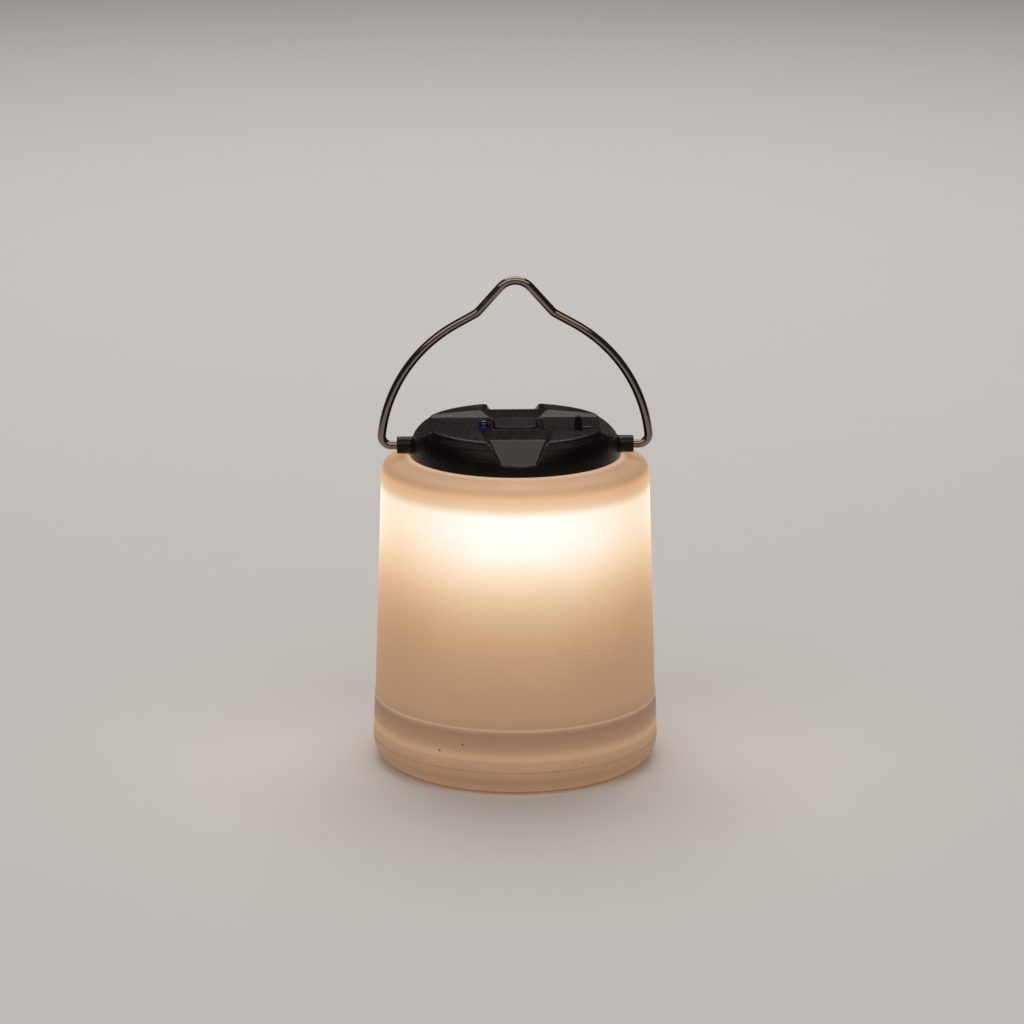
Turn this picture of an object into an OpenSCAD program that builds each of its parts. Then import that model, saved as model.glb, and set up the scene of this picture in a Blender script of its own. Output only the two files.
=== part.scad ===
// Small rechargeable camping lantern: a frosted shade, a base cap, a black head and a wire bail.
// Millimetres, +Z up. The origin is the centre of the base, on the ground, and the bail swings about X.

/* [Shade] */
// Outer radius of the shade at its lower edge
shade_base_r = 42.45; // [38:0.05:60]
// How far the wall leans inward from its lower edge to the shoulder
shade_lean = 2.9; // [0.5:0.1:6]
// Thickness of the shade wall
shade_wall = 1.8; // [1.2:0.1:2.6]
// Height of the rim where the head meets the shade
rim_z = 92.5; // [80:0.5:140]
// Slope of the shade's roof, in degrees
roof_slope = 16; // [8:1:24]
// Radius of the rounded shoulder
shoulder_r = 4.2; // [3:0.1:6]
// Height of the shallow step above the base
step_z = 20; // [17:0.5:30]
// Depth of that step
step_depth = 0.22; // [0.1:0.02:0.5]

/* [Base cap] */
// Height of the parting line between base cap and shade
seam_z = 7.2; // [7:0.1:9]
// Radius of the rounded lower edge
base_fillet = 6.4; // [4:0.1:6.8]
// Thickness of the base cap's floor
base_floor = 2; // [1.4:0.1:3]
// Thickness of the spigot that plugs into the shade
spigot_wall = 2.2; // [2:0.1:3]
// Height of the snap bead that holds the cap in the shade
bead_z = 10.7; // [10:0.1:12]
// Height of the snap bead above the spigot's wall
bead_depth = 0.4; // [0.2:0.05:0.6]
// Outer radius of the ring that the lantern stands on
foot_r = 35.5; // [30:0.5:36]
// Width of that ring
foot_width = 5; // [3:0.5:8]
// Depth of the recess inside that ring
foot_recess = 0.8; // [0.4:0.1:1.2]
// Section diameter of the seal round the spigot
seal_d = 1.3; // [1:0.1:1.6]

/* [Head] */
// Outer radius of the head where it meets the shade
crown_r = 31; // [30:0.1:34]
// Height of the valley floor above the rim
valley_rise = 8.55; // [8.2:0.05:11]
// Height of the pads above the valley floor
pad_rise = 1.5; // [0.6:0.05:1.8]
// Outward fall of the pads' tops, in degrees
pad_fall = 4.2; // [0:0.1:6]
// Radius of the upper edge of the pads
pad_edge_r = 26.7; // [25.6:0.1:27.5]
// Wall of the head's moulding
head_wall = 1.8; // [1.4:0.1:2.2]
// Half width of the left to right valley at its floor
valley_half = 8.9; // [7.6:0.1:10]
// Slope of the valley's sides, in degrees
valley_slope = 15.3; // [10:0.5:30]
// Half width of the front channel where it leaves the valley
front_half = 9.1; // [8:0.1:10]
// Inward turn of the front channel's sides, in degrees
front_turn = 2.8; // [0:0.1:8]
// Slope of the front channel's sides, in degrees
front_slope = 40; // [20:1:60]
// Half width of the rear channel
rear_half = 7.2; // [6.6:0.1:9]
// Slope of the rear channel's sides, in degrees
rear_slope = 26; // [15:1:60]
// Distance from the axis to the top of the front and rear ramps
ramp_start = 20.4; // [18:0.1:22]
// Fall of the ramps, in degrees
ramp_fall = 29; // [20:1:36]
// Length of the ramps along their slope
ramp_length = 11.2; // [9:0.1:12]
// Slope of the ramps' sides, in degrees from the ramp
ramp_side = 66; // [40:1:80]
// Half width of the ramps at the top
ramp_top_half = 8.1; // [6:0.1:9]
// Half width of the ramps at the bottom
ramp_low_half = 4.8; // [3:0.1:6]
// Distance from the axis to the top of the left and right facets
side_start = 24.6; // [22:0.1:26]
// Fall of those facets, in degrees
side_fall = 30; // [24:1:36]

/* [Tray] */
// Width of the ledge round the opening in the shade's roof
ledge = 2.8; // [2.4:0.1:3.2]
// Thickness of the flange round that opening
flange_t = 1.6; // [1.2:0.1:2]
// Depth of the recess that the head sits in
nest_depth = 0.6; // [0.3:0.1:1]
// Thickness of the gasket under the head
gasket_t = 0.8; // [0.5:0.1:1.2]
// Wall of the tray
tray_wall = 1.6; // [1.2:0.1:1.8]
// Depth of the lamp well under the tray's floor
lamp_well = 2.6; // [2.4:0.1:3.5]
// Number of the light source's chips
chip_count = 12; // [6:1:18]
// Radius of the ring of chips
chip_ring_r = 16; // [12:0.5:17]

/* [Controls] */
// Half width of the power button
button_half = 6.2; // [5:0.1:6.4]
// Corner radius of the power button
button_corner = 2.6; // [1:0.1:4]
// Height of the button above the valley floor
button_proud = 0.5; // [0.3:0.05:1]
// Travel of the power button
button_travel = 0.5; // [0.3:0.05:0.5]
// Diameter of the indicator lamp
lamp_d = 3.1; // [2:0.1:3.6]
// Height of the indicator lamp above the valley floor
lamp_proud = 2.6; // [2:0.1:3]
// Height of the slide knob above the valley floor
knob_proud = 3.5; // [2:0.1:4]
// Width of the slide knob
knob_w = 2.2; // [1.6:0.1:2.6]
// Travel of the slide knob
knob_travel = 2; // [1:0.1:2.4]

/* [Bail] */
// Diameter of the bail's wire
wire_d = 2.5; // [2:0.1:3]
// Height of the pivots above the rim
pivot_rise = 2.5; // [2.5:0.1:3.2]
// Outer diameter of the pivot bosses
boss_d = 5.1; // [4.8:0.1:5.4]
// Distance from the axis to the outer end of the bosses
boss_reach = 34.8; // [34:0.1:36]
// Depth of the blind bore in each boss
bore_depth = 4.4; // [3:0.1:4.8]
// Radius of the bend above each boss
elbow_r = 2.8; // [2:0.1:4]
// Distance from the axis to the centre of that bend
elbow_x = 36.4; // [35.6:0.1:38]
// Radius of the bail's side bows
bow_r = 43.2; // [36:0.1:60]
// Inward lean where each bow starts, in degrees
bow_start = 6.5; // [0:0.5:12]
// Slope of the bow's upper end, in degrees
brow_slope = 29; // [24:1:34]
// Length of the straight run between bow and peak
brow_length = 6.2; // [6:0.1:12]
// Bend radius at the foot of the peak
knee_r = 4; // [2:0.1:8]
// Slope of the peak's flanks, in degrees
peak_slope = 48; // [42:1:58]
// Bend radius at the top of the peak
peak_r = 5.9; // [3:0.1:6]

/* [Hidden] */
$fn = 96;

// Clearances
slip = 0.1;         // between parts that plug together
run_gap = 0.05;     // round a turning or sliding shaft
cut = 0.5;          // how far a cutting solid runs past a face
weld = 0.1;         // how far a run of the bail's wire ends inside the next
weld_step = 0.02;   // how much thinner such a run is
edge = 0.2;         // small rounding along a moulded edge
chamfer = 0.6;      // larger chamfer on hidden edges
hole_gap = 0.3;     // wider a through hole is than its screw
fuse = 0.3;         // how far a post runs into the wall above it

// Shade: its outline in the r-z plane
taper = shade_lean / (rim_z - seam_z);
lean = atan(taper);
wall_base_r = shade_base_r - step_depth;
corner_r = (wall_base_r - taper * (rim_z - seam_z + crown_r * tan(roof_slope)))
    / (1 - taper * tan(roof_slope));
corner_z = rim_z - (corner_r - crown_r) * tan(roof_slope);
wall_normal = [cos(lean), sin(lean)];
roof_normal = [sin(roof_slope), cos(roof_slope)];
shoulder_c = [corner_r, corner_z]
    - shoulder_r * (wall_normal + roof_normal) / (1 + wall_normal * roof_normal);
roof_under_z = rim_z - shade_wall / cos(roof_slope);
opening_r = crown_r - ledge;
nest_r = crown_r + slip;
nest_z = rim_z - nest_depth;
seat_z = nest_z - gasket_t;
flange_z = seat_z - flange_t;
flange_out_r = crown_r + shade_wall;

// Base cap: heights on its spigot
seal_z = step_z - 3.6;
spigot_top_z = step_z - 1;
inner_fillet = 4;
seal_gap = 0.03;

// Head: heights
valley_z = rim_z + valley_rise;
pad_z = valley_z + pad_rise;
crest_y = valley_half + pad_rise / tan(valley_slope);
pad_edge_z = pad_z - (pad_edge_r - crest_y) * tan(pad_fall);
ceiling_z = valley_z - head_wall;
crown_wall_z = rim_z + 7;
crown_wall_r = crown_r - 1.9;
ramp_corner = 0.4;
pad_round = 0.5;
wall_bulge = [0.3, 4.4];
boss_root = crown_r - head_wall - chamfer;
pivot_z = rim_z + pivot_rise;

// Tray and what it holds, from the lens upward
tray_r = opening_r - slip;
tray_in_r = tray_r - tray_wall;
tray_flange_t = 1.3;
tray_flange_r = crown_r - 0.4;
tray_floor_t = 1.2;
tray_floor_top = flange_z;
tray_floor_z = tray_floor_top - tray_floor_t;
well_z = tray_floor_z - lamp_well;
tray_top_z = rim_z + 1.4;
board_t = 1.2;
board_z = ceiling_z - 4.35;
board_top_z = board_z + board_t;
board_r = crown_r - 6.4;
led_board_t = 1;
led_board_z = tray_floor_z - led_board_t;
chip_size = [2.8, 3.5, 0.7];
diffuser_t = 0.8;
diffuser_rim = 2;
diffuser_r = tray_in_r - slip;

// Battery pouch between the posts
battery_side_room = 13;
battery_end_room = 8.5;
battery_w = 2 * (tray_in_r - battery_side_room);
battery_l = 2 * (tray_in_r - battery_end_room);
battery_y = -2.3;
battery_corner = 1.5;
pad_w = battery_w - 6;
pad_l = battery_l - 6;
pad_t = 0.4;
battery_z = tray_floor_top + run_gap;
battery_h = board_z - pad_t - battery_z;
battery_lead_x = [-3, 3];
battery_lead_d = 1;
battery_lead_run = 1.4;

// Wires from the board down to the light source
lead_x = [-1.6, 1.6];
lead_gap = 1.7;
lead_y = battery_y + battery_l / 2 + lead_gap;
lead_d = 1.1;

// Fasteners
post_angles = [30, 150, 210, 330];
post_r = tray_in_r - 2.9;
post_d = 5;
head_screw_d = 2.2;
head_screw_head = [4.4, 1.2];
head_screw_length = board_z - tray_floor_z - 0.2;
led_board_r = post_r - head_screw_head[0] / 2 - 1.2;
board_screw_at = [[0, board_r - 4.2], [4.2 - board_r, 3], [board_r - 4.6, 3.6]];
board_screw_d = 1.8;
board_screw_bite = 2.2;
board_post_d = 4.4;
board_screw_head = [3.6, 1.1];
led_screw_angles = [90, 210, 330];
led_screw_ring_r = 9;
led_screw_d = 1.6;
led_screw_head = [3, 0.8];

// Controls
lamp_at = [-9.4, -6];
lamp_dish = 0.35;
lamp_rim = [0.8, 0.9];
knob_at = [18.3, -4.9];
knob_depth = 1.7;
slide_body = [8.4, 3.6, 2.2];
slide_slot = [knob_w + knob_travel + 0.2, knob_depth + 0.2, 0.95];
switch_body = [6, 6, 1.9];
plunger_d = 3.4;
plunger_sink = 0.5;
button_flange = 0.6;
button_flange_t = 0.5;
button_foot_z = ceiling_z - button_flange_t - slip;
switch_top_z = board_top_z + switch_body[2];
button_gap = 0.2;
bezel_half = button_half + 0.85;
bezel_corner = 1.1;
groove_w = 0.3;

// Charging port in the head's rear right side, let into the edge of the board
port_angle = 55;
port_w = 9;
port_h = 3.2;
port_out_r = crown_r - 2.8;
port_depth = 7.3;
port_z = board_z + board_t / 2;

// Rubber plug over the port: it lies flush in a pocket and swings on a rolled edge
plug_w = 13;
plug_h = 5;
plug_face_r = crown_r - 2;
plug_tilt = 11;
plug_gap = 0.2;
plug_roll_r = 0.45;
tongue_t = 0.6;
port_pad_in_r = crown_r - 3.4;
port_pad_half = 8.2;
port_reach = 4;
plug_ease = 0.4;
nest_half = port_pad_half + plug_ease;
grip = [1.25, 1, 2.8];

// Bail: the end points of its runs, worked from the elbow to the peak
elbow_c = [elbow_x, pivot_z + elbow_r];
bow_c = elbow_c - (bow_r - elbow_r) * [cos(bow_start), sin(bow_start)];
bow_end = 90 - brow_slope;
brow_from = bow_c + bow_r * [cos(bow_end), sin(bow_end)];
brow_to = brow_from + brow_length * [-cos(brow_slope), sin(brow_slope)];
knee_c = brow_to + knee_r * [sin(brow_slope), cos(brow_slope)];
flank_from = knee_c - knee_r * [sin(peak_slope), cos(peak_slope)];
flank_x = peak_r * sin(peak_slope);
flank_length = (flank_from[0] - flank_x) / cos(peak_slope);
peak_c = [0, flank_from[1] + flank_length * sin(peak_slope) - peak_r * cos(peak_slope)];

// ---- Helpers ----

// Points of an arc in the r-z plane
function arc(c, r, from, to, steps = 10) =
    [for (i = [0:steps]) c + r * [cos(from + (to - from) * i / steps), sin(from + (to - from) * i / steps)]];

// Points of a curve that is pulled toward a middle point
function bend(a, b, c, steps = 8) =
    [for (i = [0:steps]) let (t = i / steps) (1 - t) * (1 - t) * a + 2 * t * (1 - t) * b + t * t * c];

// Outer radius of the shade's wall at a height
function wall_r(z) = wall_base_r - taper * (z - seam_z);

// Inner radius of the shade's wall at a height
function bore_r(z) = wall_r(z) - shade_wall / cos(lean);

module ring(outer, inner, z, height) {
    translate([0, 0, z])
        difference() {
            cylinder(r = outer, h = height);
            translate([0, 0, -cut]) cylinder(r = inner, h = height + 2 * cut);
        }
}

// Square of the given half widths with round corners
module rounded(half_x, half_y, corner) {
    square([2 * half_x, 2 * (half_y - corner)], center = true);
    square([2 * (half_x - corner), 2 * half_y], center = true);
    for (x = [-1, 1], y = [-1, 1])
        translate([x * (half_x - corner), y * (half_y - corner)]) circle(r = corner);
}

// Screw that points up: its head's underside is at z = 0 of this module, and the head hangs below
module screw(d, length, head) {
    slot_l = 0.6;
    slot_w = 0.14;
    difference() {
        union() {
            translate([0, 0, -head[1]]) cylinder(d = head[0], h = head[1]);
            cylinder(d = d, h = length);
        }
        for (a = [0, 90])
            rotate(a)
                translate([-head[0] * slot_l / 2, -head[0] * slot_w / 2, -head[1] - cut])
                    cube([head[0] * slot_l, head[0] * slot_w, cut + head[1] / 2]);
    }
}

// ---- Shade and base ----

module shade() {
    color("moccasin")
        rotate_extrude($fn = 128)
            polygon(concat(
                [
                    [bore_r(seam_z), seam_z],
                    [shade_base_r - edge, seam_z],
                    [shade_base_r, seam_z + edge],
                    [wall_r(step_z) + step_depth, step_z],
                    [wall_r(step_z), step_z + step_depth]
                ],
                arc(shoulder_c, shoulder_r, lean, 90 - roof_slope, 16),
                [
                    [nest_r, rim_z - (nest_r - crown_r) * tan(roof_slope)],
                    [nest_r, seat_z],
                    [opening_r, seat_z],
                    [opening_r, flange_z],
                    [flange_out_r - chamfer, flange_z],
                    [flange_out_r, roof_under_z - (flange_out_r - crown_r) * tan(roof_slope)]
                ],
                arc(shoulder_c, shoulder_r - shade_wall, 90 - roof_slope, lean, 16),
                [
                    [bore_r(bead_z + bead_depth * 2), bead_z + bead_depth * 2],
                    [bore_r(bead_z) + bead_depth, bead_z],
                    [bore_r(bead_z - bead_depth * 2), bead_z - bead_depth * 2]
                ]
            ));
}

// Outer radius of the base cap's spigot at a height
function spigot_r(z) = bore_r(z) - slip;

module base_cap() {
    inner_r = spigot_r(seam_z) - spigot_wall;
    groove_half = seal_d / 2 + slip;
    color("moccasin")
        rotate_extrude($fn = 128)
            polygon(concat(
                [[0, foot_recess], [foot_r - foot_width - chamfer, foot_recess], [foot_r - foot_width, 0]],
                arc([shade_base_r - base_fillet, base_fillet], base_fillet, -90, 0, 16),
                [
                    [shade_base_r, seam_z - edge],
                    [shade_base_r - edge, seam_z],
                    [spigot_r(seam_z), seam_z],
                    [spigot_r(bead_z - bead_depth * 2), bead_z - bead_depth * 2],
                    [spigot_r(bead_z) + bead_depth, bead_z],
                    [spigot_r(bead_z + bead_depth * 2), bead_z + bead_depth * 2],
                    [spigot_r(seal_z - groove_half), seal_z - groove_half],
                    [spigot_r(seal_z) - seal_d + slip, seal_z - groove_half],
                    [spigot_r(seal_z) - seal_d + slip, seal_z + groove_half],
                    [spigot_r(seal_z + groove_half), seal_z + groove_half],
                    [spigot_r(spigot_top_z - chamfer), spigot_top_z - chamfer],
                    [spigot_r(spigot_top_z) - chamfer, spigot_top_z],
                    [spigot_r(spigot_top_z) - spigot_wall, spigot_top_z]
                ],
                arc([inner_r - inner_fillet, foot_recess + base_floor + inner_fillet],
                    inner_fillet, 0, -90, 8),
                [[0, foot_recess + base_floor]]
            ));
}

module base_seal() {
    color("dimgray")
        translate([0, 0, seal_z])
            rotate_extrude($fn = 96)
                translate([bore_r(seal_z) - seal_d / 2 - seal_gap, 0])
                    circle(d = seal_d - 2 * seal_gap, $fn = 24);
}

// ---- Head ----

// Outline of the head's moulding before its channels are cut
module crown_blank() {
    rotate_extrude($fn = 128)
        polygon(concat(
            [[0, nest_z], [crown_r, nest_z]],
            bend(
                [crown_r, rim_z],
                [crown_r - wall_bulge[0], rim_z + wall_bulge[1]],
                [crown_wall_r, crown_wall_z]
            ),
            bend(
                [pad_edge_r + pad_round, pad_edge_z - pad_round],
                [pad_edge_r + edge, pad_edge_z],
                [pad_edge_r - pad_round, pad_edge_z + pad_round * tan(pad_fall)],
                4
            ),
            [[crest_y, pad_z], [0, pad_z]]
        ));
}

// Solid that the left to right valley is cut with
module valley_cut() {
    flare = 4;
    rotate([90, 0, 90])
        linear_extrude(height = 3 * crown_r, center = true)
            polygon([
                [-valley_half, valley_z],
                [valley_half, valley_z],
                [valley_half + flare / tan(valley_slope), valley_z + flare],
                [-valley_half - flare / tan(valley_slope), valley_z + flare]
            ]);
}

// One half of the front to rear channel, toward -Y, between two sloping sides
module channel_cut(half, turn, slope) {
    reach = 2 * crown_r;
    difference() {
        translate([-crown_r, -reach, valley_z]) cube([reach, reach, 4]);
        for (side = [0, 1])
            mirror([side, 0, 0])
                translate([half, -valley_half, valley_z])
                    rotate([0, 0, -turn])
                        rotate([0, -slope, 0])
                            translate([0, -reach, -reach]) cube([reach, 2 * reach, reach]);
    }
}

// Ramp toward -Y that falls from the channel's end to the head's side, sunk and widened by grow
module ramp_cut(top_half, grow) {
    reach = 2 * crown_r;
    turn = atan((top_half - ramp_low_half) / ramp_length);
    difference() {
        facet_cut(ramp_start, ramp_fall, grow);
        translate([0, -ramp_start, valley_z])
            rotate([ramp_fall, 0, 0])
                for (side = [0, 1])
                    mirror([side, 0, 0]) {
                        translate([top_half + grow, 0, -grow])
                            rotate([0, 0, -turn])
                                rotate([0, -ramp_side, 0])
                                    translate([0, -reach, -reach]) cube([reach, 2 * reach, reach]);
                        translate([ramp_low_half + grow, ramp_corner - ramp_length - grow, -grow])
                            rotate([0, 0, -60])
                                rotate([0, -ramp_side, 0])
                                    translate([0, -reach, -reach]) cube([reach, 2 * reach, reach]);
                    }
    }
}

// Everything above a plane that falls toward -Y from the given distance, sunk by grow
module facet_cut(start, fall, grow) {
    reach = 2 * crown_r;
    translate([0, -start, valley_z])
        rotate([fall, 0, 0])
            translate([-crown_r, -reach, -grow]) cube([reach, reach + grow, crown_r]);
}

module head_ramps(grow = 0) {
    ramp_cut(ramp_top_half, grow);
    rotate(180) ramp_cut(rear_half + 0.3, grow);
    for (turn = [90, 270])
        rotate(turn) facet_cut(side_start, side_fall, grow);
}

// Hollow inside the head
module crown_hollow() {
    difference() {
        rotate_extrude()
            polygon([
                [0, nest_z - cut],
                [crown_r - head_wall, nest_z - cut],
                [crown_r - head_wall - slip, pivot_z + cut],
                [crown_wall_r - head_wall, crown_wall_z - head_wall / 2],
                [pad_edge_r - head_wall, ceiling_z],
                [0, ceiling_z]
            ]);
        head_ramps(head_wall);
    }
}

module pivot_boss(side) {
    mirror([side, 0, 0])
        translate([boss_root, 0, pivot_z])
            rotate([0, 90, 0]) cylinder(d = boss_d, h = boss_reach - boss_root);
}

module pivot_bore(side) {
    mirror([side, 0, 0])
        translate([boss_reach - bore_depth, 0, pivot_z])
            rotate([0, 90, 0]) cylinder(d = wire_d + 2 * run_gap, h = bore_depth + cut);
}

module crown_cover() {
    color([0.12, 0.11, 0.1])
        difference() {
            union() {
                difference() {
                    crown_blank();
                    valley_cut();
                    channel_cut(front_half, front_turn, front_slope);
                    mirror([0, 1, 0]) channel_cut(rear_half, 0, rear_slope);
                    head_ramps();
                    crown_hollow();
                }
                for (side = [0, 1]) pivot_boss(side);
                port_pad();
                for (a = post_angles)
                    rotate(a)
                        translate([post_r, 0, battery_z])
                            cylinder(d = post_d, h = ceiling_z - battery_z + fuse);
                for (p = board_screw_at)
                    translate([p[0], p[1], board_top_z])
                        cylinder(d = board_post_d, h = ceiling_z - board_top_z + fuse);
            }
            for (side = [0, 1]) pivot_bore(side);
            for (a = post_angles)
                rotate(a)
                    translate([post_r, 0, tray_floor_top - cut])
                        cylinder(d = head_screw_d, h = head_screw_length + cut);
            for (p = board_screw_at)
                translate([p[0], p[1], board_top_z - cut])
                    cylinder(d = board_screw_d, h = board_screw_bite + edge + cut);
            // Button opening and the fine line round it
            translate([0, 0, ceiling_z - cut])
                linear_extrude(height = head_wall + 2 * cut)
                    rounded(button_half + button_gap, button_half + button_gap, button_corner + button_gap);
            translate([0, 0, valley_z - groove_w])
                linear_extrude(height = 2 * cut)
                    difference() {
                        rounded(bezel_half + groove_w, bezel_half + groove_w, bezel_corner + groove_w);
                        rounded(bezel_half, bezel_half, bezel_corner);
                    }
            // Hole for the indicator lamp
            translate([lamp_at[0], lamp_at[1], ceiling_z - cut])
                cylinder(d = lamp_d + 2 * slip, h = head_wall + 2 * cut);
            translate([lamp_at[0], lamp_at[1], valley_z - lamp_dish])
                cylinder(d1 = lamp_d + 2 * slip, d2 = lamp_d + 2 * slip + 4 * lamp_dish, h = 2 * lamp_dish);
            // Slot for the slide knob
            translate([knob_at[0] + knob_travel / 2, knob_at[1], ceiling_z - cut])
                linear_extrude(height = head_wall + 2 * cut)
                    square([knob_w + knob_travel + 2 * button_gap, knob_depth + hole_gap], center = true);
            // Opening for the charging port and the pocket for its plug
            rotate(port_angle)
                translate([port_pad_in_r - cut, -port_w / 2 - plug_gap, port_z - port_h / 2 - plug_gap])
                    cube([port_depth, port_w + 2 * plug_gap, port_h + 2 * plug_gap]);
            port_frame()
                translate([0, -plug_w / 2 - plug_gap, -plug_h / 2 - plug_gap])
                    cube([port_reach, plug_w + 2 * plug_gap, plug_h + 2 * plug_gap]);
        }
}

// Places what belongs to the port's plug: X points out of the head, Z up along its wall
module port_frame() {
    rotate(port_angle)
        translate([plug_face_r, 0, port_z])
            rotate([0, -plug_tilt, 0]) children();
}

// Thicker stretch of wall that the port's pocket is sunk in
module port_pad() {
    intersection() {
        crown_blank();
        rotate(port_angle)
            translate([port_pad_in_r, -port_pad_half, nest_z])
                cube([port_reach, 2 * port_pad_half, ceiling_z + fuse - nest_z]);
    }
}

module head_tray() {
    color("gray")
        difference() {
            union() {
                difference() {
                    translate([0, 0, well_z]) cylinder(r = tray_r, h = tray_top_z - well_z);
                    translate([0, 0, well_z - cut]) cylinder(r = tray_in_r, h = lamp_well + cut);
                    translate([0, 0, tray_floor_top])
                        cylinder(r = tray_in_r, h = tray_top_z - tray_floor_top + cut);
                }
                ring(tray_flange_r, tray_r - fuse, flange_z - tray_flange_t, tray_flange_t);
            }
            for (a = post_angles)
                rotate(a)
                    translate([post_r, 0, tray_floor_z - cut])
                        cylinder(d = head_screw_d + hole_gap, h = tray_floor_t + 2 * cut);
            for (a = led_screw_angles)
                rotate(a)
                    translate([led_screw_ring_r, 0, tray_floor_z - cut])
                        cylinder(d = led_screw_d, h = tray_floor_t + 2 * cut);
            for (x = lead_x)
                translate([x, lead_y, tray_floor_z - cut])
                    cylinder(d = lead_d + 2 * hole_gap, h = tray_floor_t + 2 * cut);
            // Gap for the charging port and the thick wall round it
            rotate(port_angle)
                translate([tray_in_r - port_reach, -nest_half, nest_z - plug_ease])
                    cube([2 * port_reach, 2 * nest_half, tray_top_z - nest_z + port_reach]);
        }
}

module head_gasket() {
    color([0.2, 0.2, 0.2]) ring(crown_r - chamfer, opening_r + 2 * edge, seat_z, gasket_t);
}

module head_screws() {
    color("silver")
        for (a = post_angles)
            rotate(a)
                translate([post_r, 0, tray_floor_z])
                    screw(head_screw_d, head_screw_length, head_screw_head);
}

// ---- Controls ----

module power_button() {
    top_z = valley_z + button_proud;
    color([0.16, 0.15, 0.14])
        union() {
            translate([0, 0, button_foot_z])
                linear_extrude(height = top_z - button_foot_z - edge)
                    rounded(button_half, button_half, button_corner);
            translate([0, 0, top_z - edge])
                linear_extrude(height = edge)
                    rounded(button_half - edge, button_half - edge, button_corner - edge);
            translate([0, 0, button_foot_z])
                linear_extrude(height = button_flange_t)
                    rounded(button_half + button_flange, button_half + button_flange, button_corner);
        }
}

module tact_switch() {
    color("darkslategray")
        translate([0, 0, board_top_z])
            difference() {
                translate([-switch_body[0] / 2, -switch_body[1] / 2, 0]) cube(switch_body);
                translate([0, 0, switch_body[2] - plunger_sink - chamfer])
                    cylinder(d = plunger_d + 2 * run_gap, h = plunger_sink + chamfer + cut);
            }
}

module switch_plunger() {
    color("ivory")
        translate([0, 0, switch_top_z - plunger_sink])
            cylinder(d = plunger_d, h = button_foot_z - switch_top_z + plunger_sink);
}

module slide_knob() {
    top_z = valley_z + knob_proud;
    foot_z = board_top_z + slide_body[2] - slide_slot[2] + edge;
    color([0.05, 0.05, 0.05])
        translate([knob_at[0], knob_at[1], 0])
            union() {
                translate([-knob_w / 2, -knob_depth / 2, foot_z])
                    cube([knob_w, knob_depth, top_z - knob_w / 2 - foot_z]);
                translate([0, 0, top_z - knob_w / 2])
                    rotate([90, 0, 0]) cylinder(d = knob_w, h = knob_depth, center = true, $fn = 48);
            }
}

module slide_switch() {
    color("darkgray")
        translate([knob_at[0] + knob_travel / 2, knob_at[1], board_top_z])
            difference() {
                translate([-slide_body[0] / 2, -slide_body[1] / 2, 0]) cube(slide_body);
                translate([-slide_slot[0] / 2, -slide_slot[1] / 2, slide_body[2] - slide_slot[2]])
                    cube([slide_slot[0], slide_slot[1], slide_slot[2] + cut]);
            }
}

module indicator_led() {
    color("royalblue")
        translate([lamp_at[0], lamp_at[1], board_top_z])
            union() {
                cylinder(d = lamp_d, h = valley_z + lamp_proud - lamp_d / 2 - board_top_z);
                translate([0, 0, valley_z + lamp_proud - lamp_d / 2 - board_top_z]) sphere(d = lamp_d);
                cylinder(d = lamp_d + lamp_rim[0], h = lamp_rim[1]);
            }
}

// ---- Electronics ----

module main_board() {
    color("darkgreen")
        difference() {
            translate([0, 0, board_z]) cylinder(r = board_r, h = board_t);
            for (a = post_angles)
                rotate(a)
                    translate([post_r, 0, board_z - cut])
                        cylinder(d = post_d + 2 * hole_gap, h = board_t + 2 * cut);
            for (p = board_screw_at)
                translate([p[0], p[1], board_z - cut])
                    cylinder(d = board_screw_d + hole_gap, h = board_t + 2 * cut);
            rotate(port_angle)
                translate([port_out_r - port_depth - slip, -port_w / 2 - slip, board_z - cut])
                    cube([port_depth, port_w + 2 * slip, board_t + 2 * cut]);
        }
}

module board_screws() {
    color("silver")
        for (p = board_screw_at)
            translate([p[0], p[1], board_z])
                screw(board_screw_d, board_t + board_screw_bite, board_screw_head);
}

module usb_socket() {
    wall = 0.35;
    corner = 1.2;
    tongue = [port_w - 2.6, 0.7];
    color("silver")
        rotate(port_angle)
            translate([port_out_r - port_depth, 0, port_z])
                rotate([90, 0, 90])
                    difference() {
                        linear_extrude(height = port_depth) rounded(port_w / 2, port_h / 2, corner);
                        translate([0, 0, corner])
                            linear_extrude(height = port_depth)
                                difference() {
                                    rounded(port_w / 2 - wall, port_h / 2 - wall, corner - wall);
                                    square(tongue, center = true);
                                }
                    }
}

module port_plug() {
    hinge_y = plug_roll_r - plug_w / 2;
    color([0.1, 0.1, 0.1])
        union() {
            intersection() {
                crown_blank();
                port_frame()
                    translate([0, hinge_y, -plug_h / 2]) cube([port_reach, plug_w / 2 - hinge_y, plug_h]);
            }
            port_frame() {
                translate([plug_roll_r, hinge_y, -plug_h / 2])
                    cylinder(r = plug_roll_r, h = plug_h, $fn = 32);
                translate([-tongue_t, plug_ease - port_w / 2, plug_ease - port_h / 2])
                    cube([tongue_t + edge, port_w - 2 * plug_ease, port_h - 2 * plug_ease]);
                translate([cut, plug_w / 2 - 2.2 * grip[1], -grip[2] / 2]) cube(grip);
            }
        }
}

module battery_pouch() {
    color("lightsteelblue")
        translate([0, battery_y, battery_z])
            linear_extrude(height = battery_h) rounded(battery_w / 2, battery_l / 2, battery_corner);
}

module battery_pad() {
    color("black")
        translate([-pad_w / 2, battery_y - pad_l / 2, battery_z + battery_h]) cube([pad_w, pad_l, pad_t]);
}

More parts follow.
